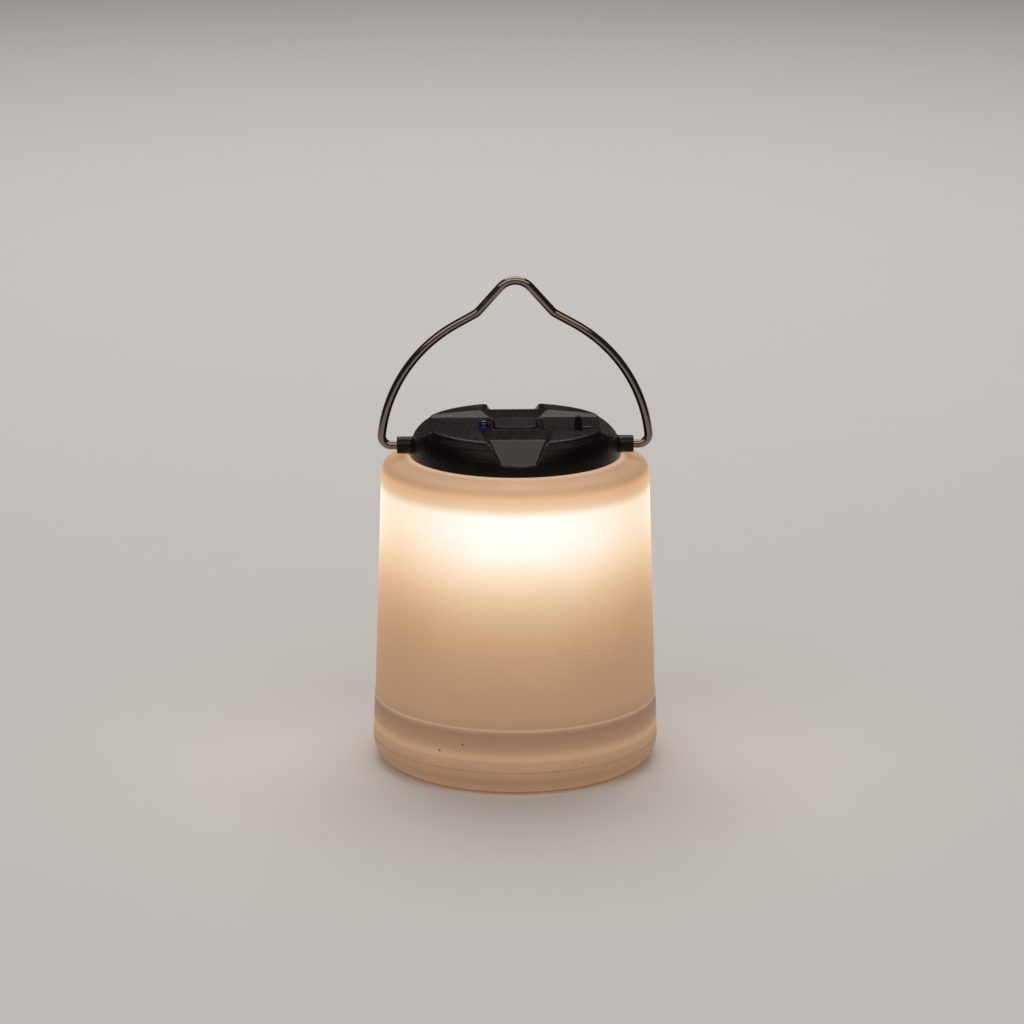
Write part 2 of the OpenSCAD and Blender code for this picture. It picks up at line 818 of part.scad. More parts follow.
module battery_leads() {
    color("firebrick")
        for (x = battery_lead_x)
            translate([x, battery_y - battery_l / 2, board_z - battery_lead_run])
                union() {
                    rotate([90, 0, 0]) cylinder(d = battery_lead_d, h = battery_lead_run, $fn = 24);
                    translate([0, -battery_lead_run, 0]) sphere(d = battery_lead_d, $fn = 24);
                    translate([0, -battery_lead_run, 0])
                        cylinder(d = battery_lead_d, h = battery_lead_run, $fn = 24);
                }
}

module led_board() {
    color("whitesmoke")
        difference() {
            translate([0, 0, led_board_z]) cylinder(r = led_board_r, h = led_board_t);
            for (a = led_screw_angles)
                rotate(a)
                    translate([led_screw_ring_r, 0, led_board_z - cut])
                        cylinder(d = led_screw_d + hole_gap, h = led_board_t + 2 * cut);
        }
}

module led_chips() {
    color("khaki")
        for (i = [0:chip_count - 1])
            rotate(i * 360 / chip_count)
                translate([chip_ring_r - chip_size[0] / 2, -chip_size[1] / 2, led_board_z - chip_size[2]])
                    cube(chip_size);
}

module led_board_screws() {
    color("silver")
        for (a = led_screw_angles)
            rotate(a)
                translate([led_screw_ring_r, 0, led_board_z])
                    screw(led_screw_d, led_board_t + tray_floor_t, led_screw_head);
}

module led_leads() {
    color("crimson")
        for (x = lead_x)
            translate([x, lead_y, tray_floor_z]) cylinder(d = lead_d, h = board_z - tray_floor_z);
}

module diffuser() {
    color("aliceblue")
        translate([0, 0, well_z])
            difference() {
                cylinder(r = diffuser_r, h = diffuser_t);
                translate([0, 0, -cut]) cylinder(r = diffuser_r - diffuser_rim, h = cut + edge);
            }
}

// ---- Bail ----

// A bend of the wire in the x-z plane, round a centre
module wire_bend(c, r, from, to, inner = false) {
    reach = inner ? weld / r * 180 / PI : 0;
    translate([c[0], 0, c[1]])
        rotate([90, 0, 0])
            rotate(from - reach)
                rotate_extrude(angle = to - from + 2 * reach)
                    translate([r, 0]) circle(d = inner ? wire_d - weld_step : wire_d, $fn = 32);
}

// A straight run of the wire in the x-z plane, up and inward at a slope
module wire_run(from, slope, length) {
    translate([from[0], 0, from[1]])
        rotate([0, slope - 90, 0])
            translate([0, 0, -weld])
                cylinder(d = wire_d - weld_step, h = length + 2 * weld, $fn = 32);
}

// One side of the wire, from its stub in the boss to the flank of the peak. Every second
// run is a hair thinner and ends just inside its neighbours, so the wire is one solid.
module bail_half() {
    stub_in = boss_reach - bore_depth + hole_gap;
    translate([stub_in, 0, pivot_z])
        rotate([0, 90, 0]) cylinder(d = wire_d, h = elbow_x - stub_in, $fn = 32);
    wire_bend(elbow_c, elbow_r, -90, bow_start, inner = true);
    wire_bend(bow_c, bow_r, bow_start, bow_end);
    wire_run(brow_from, brow_slope, brow_length);
    wire_bend(knee_c, knee_r, 270 - peak_slope, 270 - brow_slope);
    wire_run(flank_from, peak_slope, flank_length);
}

module bail() {
    color("silver")
        union() {
            for (side = [0, 1])
                mirror([side, 0, 0]) bail_half();
            wire_bend(peak_c, peak_r, 90 - peak_slope, 90 + peak_slope);
        }
}

shade();
base_cap();
base_seal();
crown_cover();
head_tray();
head_gasket();
head_screws();
power_button();
tact_switch();
switch_plunger();
slide_knob();
slide_switch();
indicator_led();
main_board();
board_screws();
usb_socket();
port_plug();
battery_pouch();
battery_pad();
battery_leads();
led_board();
led_chips();
led_board_screws();
led_leads();
diffuser();
bail();
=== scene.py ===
import math

import bmesh
import bpy
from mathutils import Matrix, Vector


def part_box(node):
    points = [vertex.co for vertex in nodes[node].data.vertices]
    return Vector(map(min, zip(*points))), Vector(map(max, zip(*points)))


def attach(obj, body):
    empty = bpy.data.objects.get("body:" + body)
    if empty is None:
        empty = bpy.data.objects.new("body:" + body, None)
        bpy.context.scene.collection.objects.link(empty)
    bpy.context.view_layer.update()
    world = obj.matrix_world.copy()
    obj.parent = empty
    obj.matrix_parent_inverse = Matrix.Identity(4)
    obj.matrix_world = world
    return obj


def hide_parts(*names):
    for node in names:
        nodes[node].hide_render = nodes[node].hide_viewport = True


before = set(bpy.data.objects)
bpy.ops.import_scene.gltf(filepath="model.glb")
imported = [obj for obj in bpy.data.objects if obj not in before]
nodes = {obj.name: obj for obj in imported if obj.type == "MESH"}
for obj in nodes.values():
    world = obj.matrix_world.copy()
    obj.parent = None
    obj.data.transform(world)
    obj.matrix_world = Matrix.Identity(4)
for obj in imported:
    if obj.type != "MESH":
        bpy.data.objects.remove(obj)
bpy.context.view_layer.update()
print("frame loaded:", len(nodes), "solids")

# how far a bump of full strength stands out, in metres
coarseReach = 0.0002
fineReach = 0.0001


def newGroup(name, inputs, outputs):
    group = bpy.data.node_groups.new(name, "ShaderNodeTree")
    for label, kind, value in inputs:
        socket = group.interface.new_socket(label, in_out="INPUT", socket_type=kind)
        socket.default_value = value
    for label, kind in outputs:
        group.interface.new_socket(label, in_out="OUTPUT", socket_type=kind)
    start = group.nodes.new("NodeGroupInput")
    end = group.nodes.new("NodeGroupOutput")
    start.location = (-900, 0)
    end.location = (600, 0)
    return group, start, end


def addNode(tree, kind, place=(0, 0), **settings):
    node = tree.nodes.new(kind)
    node.location = place
    for key, value in settings.items():
        setattr(node, key, value)
    return node


def feed(tree, value, socket):
    # a socket takes a plain number, a colour or another node's output
    if isinstance(value, (int, float)):
        socket.default_value = value
    elif isinstance(value, tuple):
        socket.default_value = (*value, 1) if len(socket.default_value) == 4 else value
    else:
        tree.links.new(value, socket)


def addMath(tree, operation, first, second=None, place=(0, 0), clamp=False):
    node = addNode(tree, "ShaderNodeMath", place, operation=operation, use_clamp=clamp)
    feed(tree, first, node.inputs[0])
    if second is not None:
        feed(tree, second, node.inputs[1])
    return node.outputs[0]


def addMix(tree, factor, first, second, place=(0, 0), blend="MIX"):
    node = addNode(tree, "ShaderNodeMix", place, data_type="RGBA", blend_type=blend)
    feed(tree, factor, node.inputs[0])
    feed(tree, first, node.inputs[6])
    feed(tree, second, node.inputs[7])
    return node.outputs[2]


def addRamp(tree, factor, stops, place=(0, 0)):
    node = addNode(tree, "ShaderNodeValToRGB", place)
    ramp = node.color_ramp
    while len(ramp.elements) < len(stops):
        ramp.elements.new(0.5)
    for element, (position, colour) in zip(ramp.elements, stops):
        element.position = position
        element.color = (*colour, 1) if isinstance(colour, tuple) else (colour, colour, colour, 1)
    tree.links.new(factor, node.inputs[0])
    return node.outputs[0]


def addNoise(tree, coords, scale, detail, place=(0, 0), roughness=0.5):
    node = addNode(tree, "ShaderNodeTexNoise", place)
    node.inputs["Detail"].default_value = detail
    node.inputs["Roughness"].default_value = roughness
    feed(tree, coords, node.inputs["Vector"])
    feed(tree, scale, node.inputs["Scale"])
    return node.outputs["Fac"]


def makeGrainGroup():
    # fine moulded texture: a height for the bump, and a slow mottle for colour and gloss
    group, start, end = newGroup(
        "mouldedGrain",
        [("Grain Size", "NodeSocketFloat", 2500.0), ("Mottle Size", "NodeSocketFloat", 90.0)],
        [("Height", "NodeSocketFloat"), ("Mottle", "NodeSocketFloat")],
    )
    coords = addNode(group, "ShaderNodeTexCoord", (-900, -250)).outputs["Object"]
    fine = addNoise(group, coords, start.outputs["Grain Size"], 2, (-500, 150))
    pits = addNode(group, "ShaderNodeTexVoronoi", (-500, -100))
    feed(group, coords, pits.inputs["Vector"])
    feed(group, start.outputs["Grain Size"], pits.inputs["Scale"])
    slow = addNoise(group, coords, start.outputs["Mottle Size"], 5, (-500, -350))
    height = addMath(group, "MULTIPLY", fine, pits.outputs["Distance"], (-200, 80))
    group.links.new(height, end.inputs["Height"])
    group.links.new(slow, end.inputs["Mottle"])
    return group


def makeDustGroup():
    # pale dust that settles on surfaces that face up, broken up by noise
    group, start, end = newGroup(
        "settledDust",
        [("Amount", "NodeSocketFloat", 0.3), ("Patch Size", "NodeSocketFloat", 160.0)],
        [("Mask", "NodeSocketFloat")],
    )
    coords = addNode(group, "ShaderNodeTexCoord", (-900, -250)).outputs["Object"]
    shape = addNode(group, "ShaderNodeNewGeometry", (-900, 250))
    patch = addNoise(group, coords, start.outputs["Patch Size"], 7, (-500, -150), 0.7)
    split = addNode(group, "ShaderNodeSeparateXYZ", (-700, 250))
    group.links.new(shape.outputs["Normal"], split.inputs[0])
    facing = addMath(group, "MAXIMUM", split.outputs[2], 0.0, (-500, 250))
    upward = addMath(group, "POWER", facing, 2.0, (-350, 250))
    broken = addRamp(group, patch, [(0.42, 0.0), (0.68, 1.0)], (-300, -150))
    both = addMath(group, "MULTIPLY", upward, broken, (0, 100))
    mask = addMath(group, "MULTIPLY", both, start.outputs["Amount"], (200, 100))
    group.links.new(mask, end.inputs["Mask"])
    return group


def makeRubAndHighlightGroup():
    # lighter rims where the surface turns sharply: wear, and a painted highlight on the edges
    group, start, end = newGroup(
        "edgeRubAndHighlight",
        [("Width", "NodeSocketFloat", 0.06), ("Amount", "NodeSocketFloat", 0.5)],
        [("Mask", "NodeSocketFloat")],
    )
    shape = addNode(group, "ShaderNodeNewGeometry", (-900, 150))
    coords = addNode(group, "ShaderNodeTexCoord", (-900, -250)).outputs["Object"]
    patchSize = 400.0
    broken = addNoise(group, coords, patchSize, 6, (-600, -250))
    edge = addMath(group, "SUBTRACT", shape.outputs["Pointiness"], 0.5, (-600, 150))
    edge = addMath(group, "DIVIDE", edge, start.outputs["Width"], (-400, 150), clamp=True)
    edge = addMath(group, "MULTIPLY", edge, broken, (-200, 100))
    mask = addMath(group, "MULTIPLY", edge, start.outputs["Amount"], (0, 100))
    group.links.new(mask, end.inputs["Mask"])
    return group


def makeRingGroup():
    # a thin line round the piece at one height, soft at its two edges
    group, start, end = newGroup(
        "ringLine",
        [("Level", "NodeSocketFloat", 0.02), ("Half Width", "NodeSocketFloat", 0.0003)],
        [("Mask", "NodeSocketFloat")],
    )
    coords = addNode(group, "ShaderNodeTexCoord", (-900, -250))
    split = addNode(group, "ShaderNodeSeparateXYZ", (-700, -250))
    group.links.new(coords.outputs["Object"], split.inputs[0])
    away = addMath(group, "SUBTRACT", split.outputs[2], start.outputs["Level"], (-500, 0))
    away = addMath(group, "ABSOLUTE", away, None, (-350, 0))
    away = addMath(group, "DIVIDE", away, start.outputs["Half Width"], (-200, 0))
    mask = addMath(group, "SUBTRACT", 1.0, away, (0, 0), clamp=True)
    group.links.new(mask, end.inputs["Mask"])
    return group


def makeSpotGroup():
    # a small round spot at one point of the piece
    group, start, end = newGroup(
        "smallSpot",
        [("Place", "NodeSocketVector", (0.0, 0.0, 0.0)), ("Radius", "NodeSocketFloat", 0.0004)],
        [("Mask", "NodeSocketFloat")],
    )
    coords = addNode(group, "ShaderNodeTexCoord", (-900, -250))
    away = addNode(group, "ShaderNodeVectorMath", (-600, 0), operation="DISTANCE")
    group.links.new(coords.outputs["Object"], away.inputs[0])
    group.links.new(start.outputs["Place"], away.inputs[1])
    share = addMath(group, "DIVIDE", away.outputs["Value"], start.outputs["Radius"], (-350, 0))
    share = addMath(group, "SUBTRACT", 1.0, share, (-200, 0))
    sharpness = 3.0
    mask = addMath(group, "MULTIPLY", share, sharpness, (0, 0), clamp=True)
    group.links.new(mask, end.inputs["Mask"])
    return group


grainGroup = makeGrainGroup()
dustGroup = makeDustGroup()
rubAndHighlightGroup = makeRubAndHighlightGroup()
ringGroup = makeRingGroup()
spotGroup = makeSpotGroup()
print("shader groups built")


def newMaterial(name):
    material = bpy.data.materials.new(name)
    material.use_nodes = True
    tree = material.node_tree
    return material, tree, tree.nodes["Principled BSDF"]


def useGroup(tree, group, place, values):
    node = addNode(tree, "ShaderNodeGroup", place)
    node.node_tree = group
    for key, value in values.items():
        node.inputs[key].default_value = value
    return node


def useGrain(tree, look, place=(-700, 0)):
    sizes = {"Grain Size": look["grainSize"], "Mottle Size": look["mottleSize"]}
    return useGroup(tree, grainGroup, place, sizes)


def setShader(shader, **values):
    # plain values that are the same all over a surface
    names = {
        "metallic": "Metallic", "specular": "Specular IOR Level", "glow": "Emission Strength",
        "ior": "IOR", "roughness": "Roughness",
    }
    for key, value in values.items():
        shader.inputs[names[key]].default_value = value


def addBump(tree, shader, height, strength, reach=coarseReach):
    bump = addNode(tree, "ShaderNodeBump", (0, -300))
    bump.inputs["Strength"].default_value = strength
    bump.inputs["Distance"].default_value = reach
    tree.links.new(height, bump.inputs["Height"])
    tree.links.new(bump.outputs["Normal"], shader.inputs["Normal"])


def scaled(colour, share):
    return tuple(share * part for part in colour)


def dress(names, material):
    # puts one material on the solids with these names
    for name in names:
        nodes[name].data.materials.clear()
        nodes[name].data.materials.append(material)


def addObject(name, mesh):
    # a new object from a mesh built in code
    data = bpy.data.meshes.new(name)
    mesh.to_mesh(data)
    mesh.free()
    thing = bpy.data.objects.new(name, data)
    bpy.context.collection.objects.link(thing)
    return thing


def smoothShaded(data):
    for face in data.polygons:
        face.use_smooth = True


def softenedCopy(name, node, body, look, material):
    # the solid's own shape with its sharp edges eased, which then stands for the solid
    piece = bpy.data.objects.new(name, nodes[node].data.copy())
    bpy.context.collection.objects.link(piece)
    grid = piece.modifiers.new("grid", "REMESH")
    grid.mode = "VOXEL"
    grid.voxel_size = look["voxel"]
    ease = piece.modifiers.new("ease", "SMOOTH")
    ease.factor = 0.5
    ease.iterations = look["rounds"]
    view = bpy.context.evaluated_depsgraph_get()
    shape = bpy.data.meshes.new_from_object(piece.evaluated_get(view))
    piece.modifiers.clear()
    piece.data = shape
    shape.materials.clear()
    shape.materials.append(material)
    smoothShaded(shape)
    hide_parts(node)
    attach(piece, body)
    print(name, len(shape.polygons), "faces")
    return piece


def squareLine(halfSide, corner):
    # how far a point lies from a square with rounded corners, negative inside it
    def away(x, y):
        past = [max(abs(value) - halfSide + corner, 0.0) for value in (x, y)]
        return math.hypot(*past) - corner
    return away


def ringLine(middle, radius):
    # how far a point lies from a circle
    def away(x, y):
        return math.hypot(x - middle.x, y - middle.y) - radius
    return away


def scribe(piece, away, look):
    # a narrow V groove pressed into the level top along one closed line
    moves = []
    for corner in piece.data.vertices:
        share = 1.0 - abs(away(corner.co.x, corner.co.y)) / look["halfWidth"]
        if share > 0 and corner.co.z > look["lowest"] and corner.normal.z > look["steepest"]:
            moves.append((corner, look["depth"] * share))
    for corner, sink in moves:
        corner.co.z -= sink


def mouldedPlastic(name, look):
    # opaque moulded plastic: mottled colour, fine grain, a little dust, and rubbed rims that carry a
    # painted highlight
    material, tree, shader = newMaterial(name)
    grain = useGrain(tree, look)
    body = addMix(tree, grain.outputs["Mottle"], look["dark"], look["light"], (-400, 200))
    # the rubbed rims are lighter: wear, and a painted highlight on the sharp edges
    if look.get("rubAndHighlight"):
        rubAndHighlight = useGroup(tree, rubAndHighlightGroup, (-700, -450), {"Amount": look["rubAndHighlight"]})
        body = addMix(tree, rubAndHighlight.outputs["Mask"], body, look["rubAndHighlightColour"], (-250, 200))
    if look.get("dust"):
        dust = useGroup(tree, dustGroup, (-700, -250), {"Amount": look["dust"]})
        body = addMix(tree, dust.outputs["Mask"], body, look["dustColour"], (-100, 200))
    # the gloss changes from grain to grain, so that lit faces sparkle
    low, high = look["gloss"]
    coords = addNode(tree, "ShaderNodeTexCoord", (-900, -100)).outputs["Object"]
    sparkle = addNoise(tree, coords, look["grainSize"], 1, (-700, -100))
    gloss = addRamp(tree, sparkle, [(0.35, low), (0.65, high)], (-300, -50))
    setShader(shader, specular=look["specular"])
    if look.get("sheen"):
        shader.inputs["Specular Tint"].default_value = (*look["sheen"], 1.0)
    tree.links.new(gloss, shader.inputs["Roughness"])
    tree.links.new(body, shader.inputs["Base Color"])
    addBump(tree, shader, grain.outputs["Height"], look["grainDepth"])
    return material


shadeLook = {
    "top": 0.0925,
    # height and strength of the glow round the foot: its base, seam, ring and groove, up to the step
    "foot": [
        (0.0015, 0.12), (0.0045, 0.08), (0.0105, 0.15), (0.0107, 0.19), (0.0118, 0.19),
        (0.0140, 0.10), (0.0184, 0.05), (0.0198, 0.11),
    ],
    # up the wall it grows toward a bright band, and fades with the distance below that
    "wallFoot": 0.024, "wallSteps": 9, "band": 0.077, "spread": 0.0123,
    "weakest": 0.12, "brightest": 0.96,
    # over the shoulder it falls off to the head's rim
    "shoulder": [(0.0825, 0.95), (0.0850, 0.54), (0.0876, 0.41), (0.0894, 0.24)],
    # the glow's colour by its strength: amber, then cream, then near white
    "tints": [
        (0.0, (0.04, 0.0, 0.0)), (0.27, (0.46, 0.27, 0.14)), (0.62, (0.82, 0.62, 0.41)),
        (0.96, (1.0, 0.96, 0.90)),
    ],
    # the light falls on the wall in broad lobes; what is left of it between them, by height
    "lobes": 3, "lobeWidth": 1.6,
    "between": [
        (0.030, (1.0, 1.0, 1.0)), (0.050, (0.87, 0.80, 0.74)), (0.070, (0.89, 0.74, 0.59)),
        (0.085, (0.87, 0.78, 0.66)), (0.090, (0.76, 0.72, 0.68)),
    ],
    "tone": (0.36, 0.27, 0.20), "toneSpread": (0.94, 1.04),
    "mottle": 0.05, "frost": (0.93, 1.05), "frostSize": 2200.0,
    "grainSize": 1800.0, "mottleSize": 45.0, "grainDepth": 0.12,
    "roughness": 0.5, "specular": 0.25,
    # each line's height, half width, strength and tint, painted into the glow: a painted highlight on
    # the step's edge, a warm painted band of light on the shoulder, and painted light at the head's rim
    "paintedLightLines": [
        (0.0200, 0.0005, 0.12, (1.0, 0.82, 0.66)),
        (0.0876, 0.0018, 0.25, (0.90, 0.41, 0.12)),
        (0.0923, 0.0004, 0.35, (0.8, 0.62, 0.45)),
    ],
    # the dirt in the seam: height, half width, strength and patch size, and how it thins out
    "seam": (0.0074, 0.0003, 0.45, 220.0), "seamPatches": [(0.35, 0.2), (0.62, 1.0)],
    # azimuth in degrees from the front, height and radius of each speck
    "specks": [
        (-23.0, 0.0152, 0.00045), (-33.0, 0.0124, 0.0004), (26.0, 0.0092, 0.00025),
        (15.0, 0.0075, 0.00025), (-62.0, 0.0660, 0.00025),
    ],
    "speckColour": (0.10, 0.07, 0.05), "speckGlow": 0.5,
}


def glowColour(strength, tints):
    # a blend of the two tints on either side of this strength
    for (low, dull), (high, bright) in zip(tints, tints[1:]):
        if strength <= high:
            share = (strength - low) / (high - low)
            return tuple(start + share * (end - start) for start, end in zip(dull, bright))
    return tints[-1][1]


def wallStrength(level, look):
    fade = 1.0 / math.cosh((look["band"] - level) / look["spread"])
    return look["weakest"] + (look["brightest"] - look["weakest"]) * fade


def glowStops(look):
    # height and colour of the glow from the foot, up the wall and over the shoulder
    rise = (look["band"] - look["wallFoot"]) / look["wallSteps"]
    levels = [look["wallFoot"] + rise * step for step in range(look["wallSteps"] + 1)]
    wall = [(level, wallStrength(level, look)) for level in levels]
    strengths = look["foot"] + wall + look["shoulder"]
    return [(level, glowColour(strength, look["tints"])) for level, strength in strengths]


def byHeight(tree, height, stops, look, place):
    # a colour that follows the height above the foot
    stops = [(level / look["top"], tone) for level, tone in stops]
    return addRamp(tree, height, stops, place)


def lobeShare(tree, split, look):
    # 0 in the middle of each lobe, 1 half way between two; the first lobe faces the front
    front = addMath(tree, "MULTIPLY", split.outputs[1], -1.0, (-1300, 900))
    turn = addMath(tree, "ARCTAN2", split.outputs[0], front, (-1100, 900))
    wave = addMath(tree, "COSINE", addMath(tree, "MULTIPLY", turn, look["lobes"]), None, (-900, 1000))
    share = addMath(tree, "MULTIPLY", addMath(tree, "SUBTRACT", 1.0, wave), 0.5, (-700, 1000))
    return addMath(tree, "POWER", share, look["lobeWidth"], (-600, 1000))


def shadeDirt(tree, coords, look):
    # dirt that has settled in the seam, and a few loose specks
    level, halfWidth, strength, patchSize = look["seam"]
    ring = useGroup(tree, ringGroup, (-1100, -550), {"Level": level, "Half Width": halfWidth})
    patches = addNoise(tree, coords, patchSize, 6, (-1100, -750), 0.7)
    patches = addRamp(tree, patches, look["seamPatches"], (-900, -750))
    dirt = addMath(tree, "MULTIPLY", ring.outputs["Mask"], patches, (-700, -550))
    dirt = addMath(tree, "MULTIPLY", dirt, strength, (-550, -550))
    for turn, level, radius in look["specks"]:
        out = shadeRadius(level)
        angle = math.radians(turn)
        place = (out * math.sin(angle), -out * math.cos(angle), level)
        spot = useGroup(tree, spotGroup, (-1100, -950), {"Place": place, "Radius": radius})
        dirt = addMath(tree, "MAXIMUM", dirt, spot.outputs["Mask"], (-400, -700))
    return dirt


def frostedShade(name, look):
    # milky plastic lit from inside: the glow follows height and the lobes, over a warm pale skin
    material, tree, shader = newMaterial(name)
    coords = addNode(tree, "ShaderNodeTexCoord", (-1500, 300)).outputs["Object"]
    split = addNode(tree, "ShaderNodeSeparateXYZ", (-1300, 300))
    tree.links.new(coords, split.inputs[0])
    height = addMath(tree, "DIVIDE", split.outputs[2], look["top"], (-1100, 300))
    grain = useGrain(tree, look, (-1100, -100))
    mottle = grain.outputs["Mottle"]
    uneven = addRamp(tree, mottle, [(0.3, 1 - look["mottle"]), (0.7, 1.0)], (-900, 0))
    frost = addNoise(tree, coords, look["frostSize"], 2, (-1100, 600))
    low, high = look["frost"]
    frost = addRamp(tree, frost, [(0.3, low), (0.7, high)], (-900, 600))
    left = byHeight(tree, height, look["between"], look, (-900, 800))
    lobes = addMix(tree, lobeShare(tree, split, look), (1.0, 1.0, 1.0), left, (-500, 900))
    glow = byHeight(tree, height, glowStops(look), look, (-900, 300))
    for factor in (uneven, frost, lobes):
        glow = addMix(tree, 1.0, glow, factor, (-600, 300), "MULTIPLY")
    # bright lines painted into the glow: painted highlight and painted light at the step, the shoulder
    # and the head's rim
    for level, halfWidth, strength, tint in look["paintedLightLines"]:
        ring = useGroup(tree, ringGroup, (-1100, -350), {"Level": level, "Half Width": halfWidth})
        share = addMath(tree, "MULTIPLY", ring.outputs["Mask"], strength, (-900, -350))
        glow = addMix(tree, share, glow, tint, (-450, 300))
    dark, light = look["toneSpread"]
    body = addMix(tree, mottle, scaled(look["tone"], dark), scaled(look["tone"], light), (-600, 50))
    dirt = shadeDirt(tree, coords, look)
    glow = addMix(tree, dirt, glow, scaled(look["speckColour"], look["speckGlow"]), (-250, 300))
    body = addMix(tree, dirt, body, look["speckColour"], (-250, 50))
    tree.links.new(glow, shader.inputs["Emission Color"])
    tree.links.new(body, shader.inputs["Base Color"])
    setShader(shader, glow=1.0, roughness=look["roughness"], specular=look["specular"])
    addBump(tree, shader, grain.outputs["Height"], look["grainDepth"], fineReach)
    return material


def shadeRadius(level, near=0.004):
    # outer radius of the shade's and the base's wall at one height
    widest = 0.0
    for name in ("shade", "base_cap"):
        for corner in nodes[name].data.vertices:
            if abs(corner.co.z - level) < near:
                widest = max(widest, math.hypot(corner.co.x, corner.co.y))
    return widest


dress(("shade", "base_cap"), frostedShade("frostedShade", shadeLook))
print("shade and base cap dressed")

crownLook = {
    "dark": (0.0035, 0.0026, 0.0022), "light": (0.0075, 0.0056, 0.0050),
    # lighter sharp edges on the head, button and knob: wear, and a painted highlight
    "rubAndHighlight": 0.15, "rubAndHighlightColour": (0.045, 0.038, 0.034),
    "grainSize": 2600.0, "mottleSize": 120.0, "grainDepth": 0.5,
    "gloss": (0.12, 0.28), "specular": 0.24, "sheen": (1.0, 0.86, 0.81),
    "voxel": 0.00028, "rounds": 3,
}
scribePart = {
    "halfSide": 0.0077, "corner": 0.0014,  # the square line round the button
    "lamp": "indicator_led", "ringRadius": 0.0020,  # the sunk ring round the little lamp
    "halfWidth": 0.0005, "depth": 0.0010, "lowest": 0.0975, "steepest": 0.85,
}
crownMaterial = mouldedPlastic("crownPlastic", crownLook)
crownShell = softenedCopy("crownShell", "crown_cover", "lantern", crownLook, crownMaterial)
lampLow, lampHigh = (Vector(corner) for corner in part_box(scribePart["lamp"]))
scribe(crownShell, squareLine(scribePart["halfSide"], scribePart["corner"]), scribePart)
scribe(crownShell, ringLine((lampLow + lampHigh) / 2, scribePart["ringRadius"]), scribePart)

buttonLook = {
    **crownLook, "dark": (0.009, 0.007, 0.0068), "light": (0.014, 0.0115, 0.011),
    "grainSize": 3200.0, "gloss": (0.28, 0.33), "grainDepth": 0.4, "voxel": 0.00014,
}
buttonMaterial = mouldedPlastic("buttonPlastic", buttonLook)
softenedCopy("buttonCap", "power_button", "button", buttonLook, buttonMaterial)

knobLook = {**buttonLook, "gloss": (0.35, 0.45), "voxel": 0.00008}
knobMaterial = mouldedPlastic("knobPlastic", knobLook)
softenedCopy("modeKnob", "slide_knob", "mode_knob", knobLook, knobMaterial)
print("head, button and knob eased and dressed")

plugLook = {
    "dark": (0.010, 0.0095, 0.009), "light": (0.016, 0.015, 0.014), "dustColour": (0.12, 0.11, 0.10),
    "grainSize": 1500.0, "mottleSize": 150.0, "gloss": (0.6, 0.75), "grainDepth": 0.25,
    "dust": 0.15, "specular": 0.3, "voxel": 0.00016, "rounds": 3,
}
plugMaterial = mouldedPlastic("plugRubber", plugLook)
softenedCopy("portFlap", "port_plug", "plug", plugLook, plugMaterial)

sealLook = {
    "dark": (0.25, 0.22, 0.19), "light": (0.34, 0.30, 0.26), "grainSize": 1200.0, "mottleSize": 200.0,
    "gloss": (0.35, 0.5), "grainDepth": 0.1, "specular": 0.4,
}
dress(("head_gasket", "base_seal"), mouldedPlastic("sealRubber", sealLook))

trayLook = {
    "dark": (0.62, 0.60, 0.56), "light": (0.72, 0.70, 0.66), "grainSize": 2200.0, "mottleSize": 90.0,
    "gloss": (0.4, 0.55), "grainDepth": 0.2, "specular": 0.4,
}
dress(("head_tray",), mouldedPlastic("trayPlastic", trayLook))

diffuserLook = {
    "dark": (0.74, 0.71, 0.64), "light": (0.80, 0.77, 0.70), "grainSize": 2600.0, "mottleSize": 60.0,
    "gloss": (0.45, 0.6), "grainDepth": 0.3, "specular": 0.4,
}
dress(("diffuser",), mouldedPlastic("diffuserPlastic", diffuserLook))

switchLook = {
    "dark": (0.018, 0.018, 0.018), "light": (0.03, 0.03, 0.03), "grainSize": 3000.0, "mottleSize": 200.0,
    "gloss": (0.35, 0.5), "grainDepth": 0.15, "specular": 0.5,
}
dress(("tact_switch", "slide_switch"), mouldedPlastic("switchBody", switchLook))
plungerLook = {**switchLook, "dark": (0.55, 0.53, 0.48), "light": (0.66, 0.64, 0.58)}
dress(("switch_plunger",), mouldedPlastic("switchPlunger", plungerLook))

foamLook = {
    "dark": (0.04, 0.04, 0.042), "light": (0.08, 0.08, 0.085), "grainSize": 900.0, "mottleSize": 400.0,
    "gloss": (0.85, 0.95), "grainDepth": 0.9, "specular": 0.1,
}
dress(("battery_pad",), mouldedPlastic("foamPad", foamLook))
leadLook = {**switchLook, "dark": (0.30, 0.02, 0.015), "light": (0.42, 0.03, 0.02)}
dress(("battery_leads", "led_leads"), mouldedPlastic("leadInsulation", leadLook))
print("rubber, tray, switches and leads dressed")


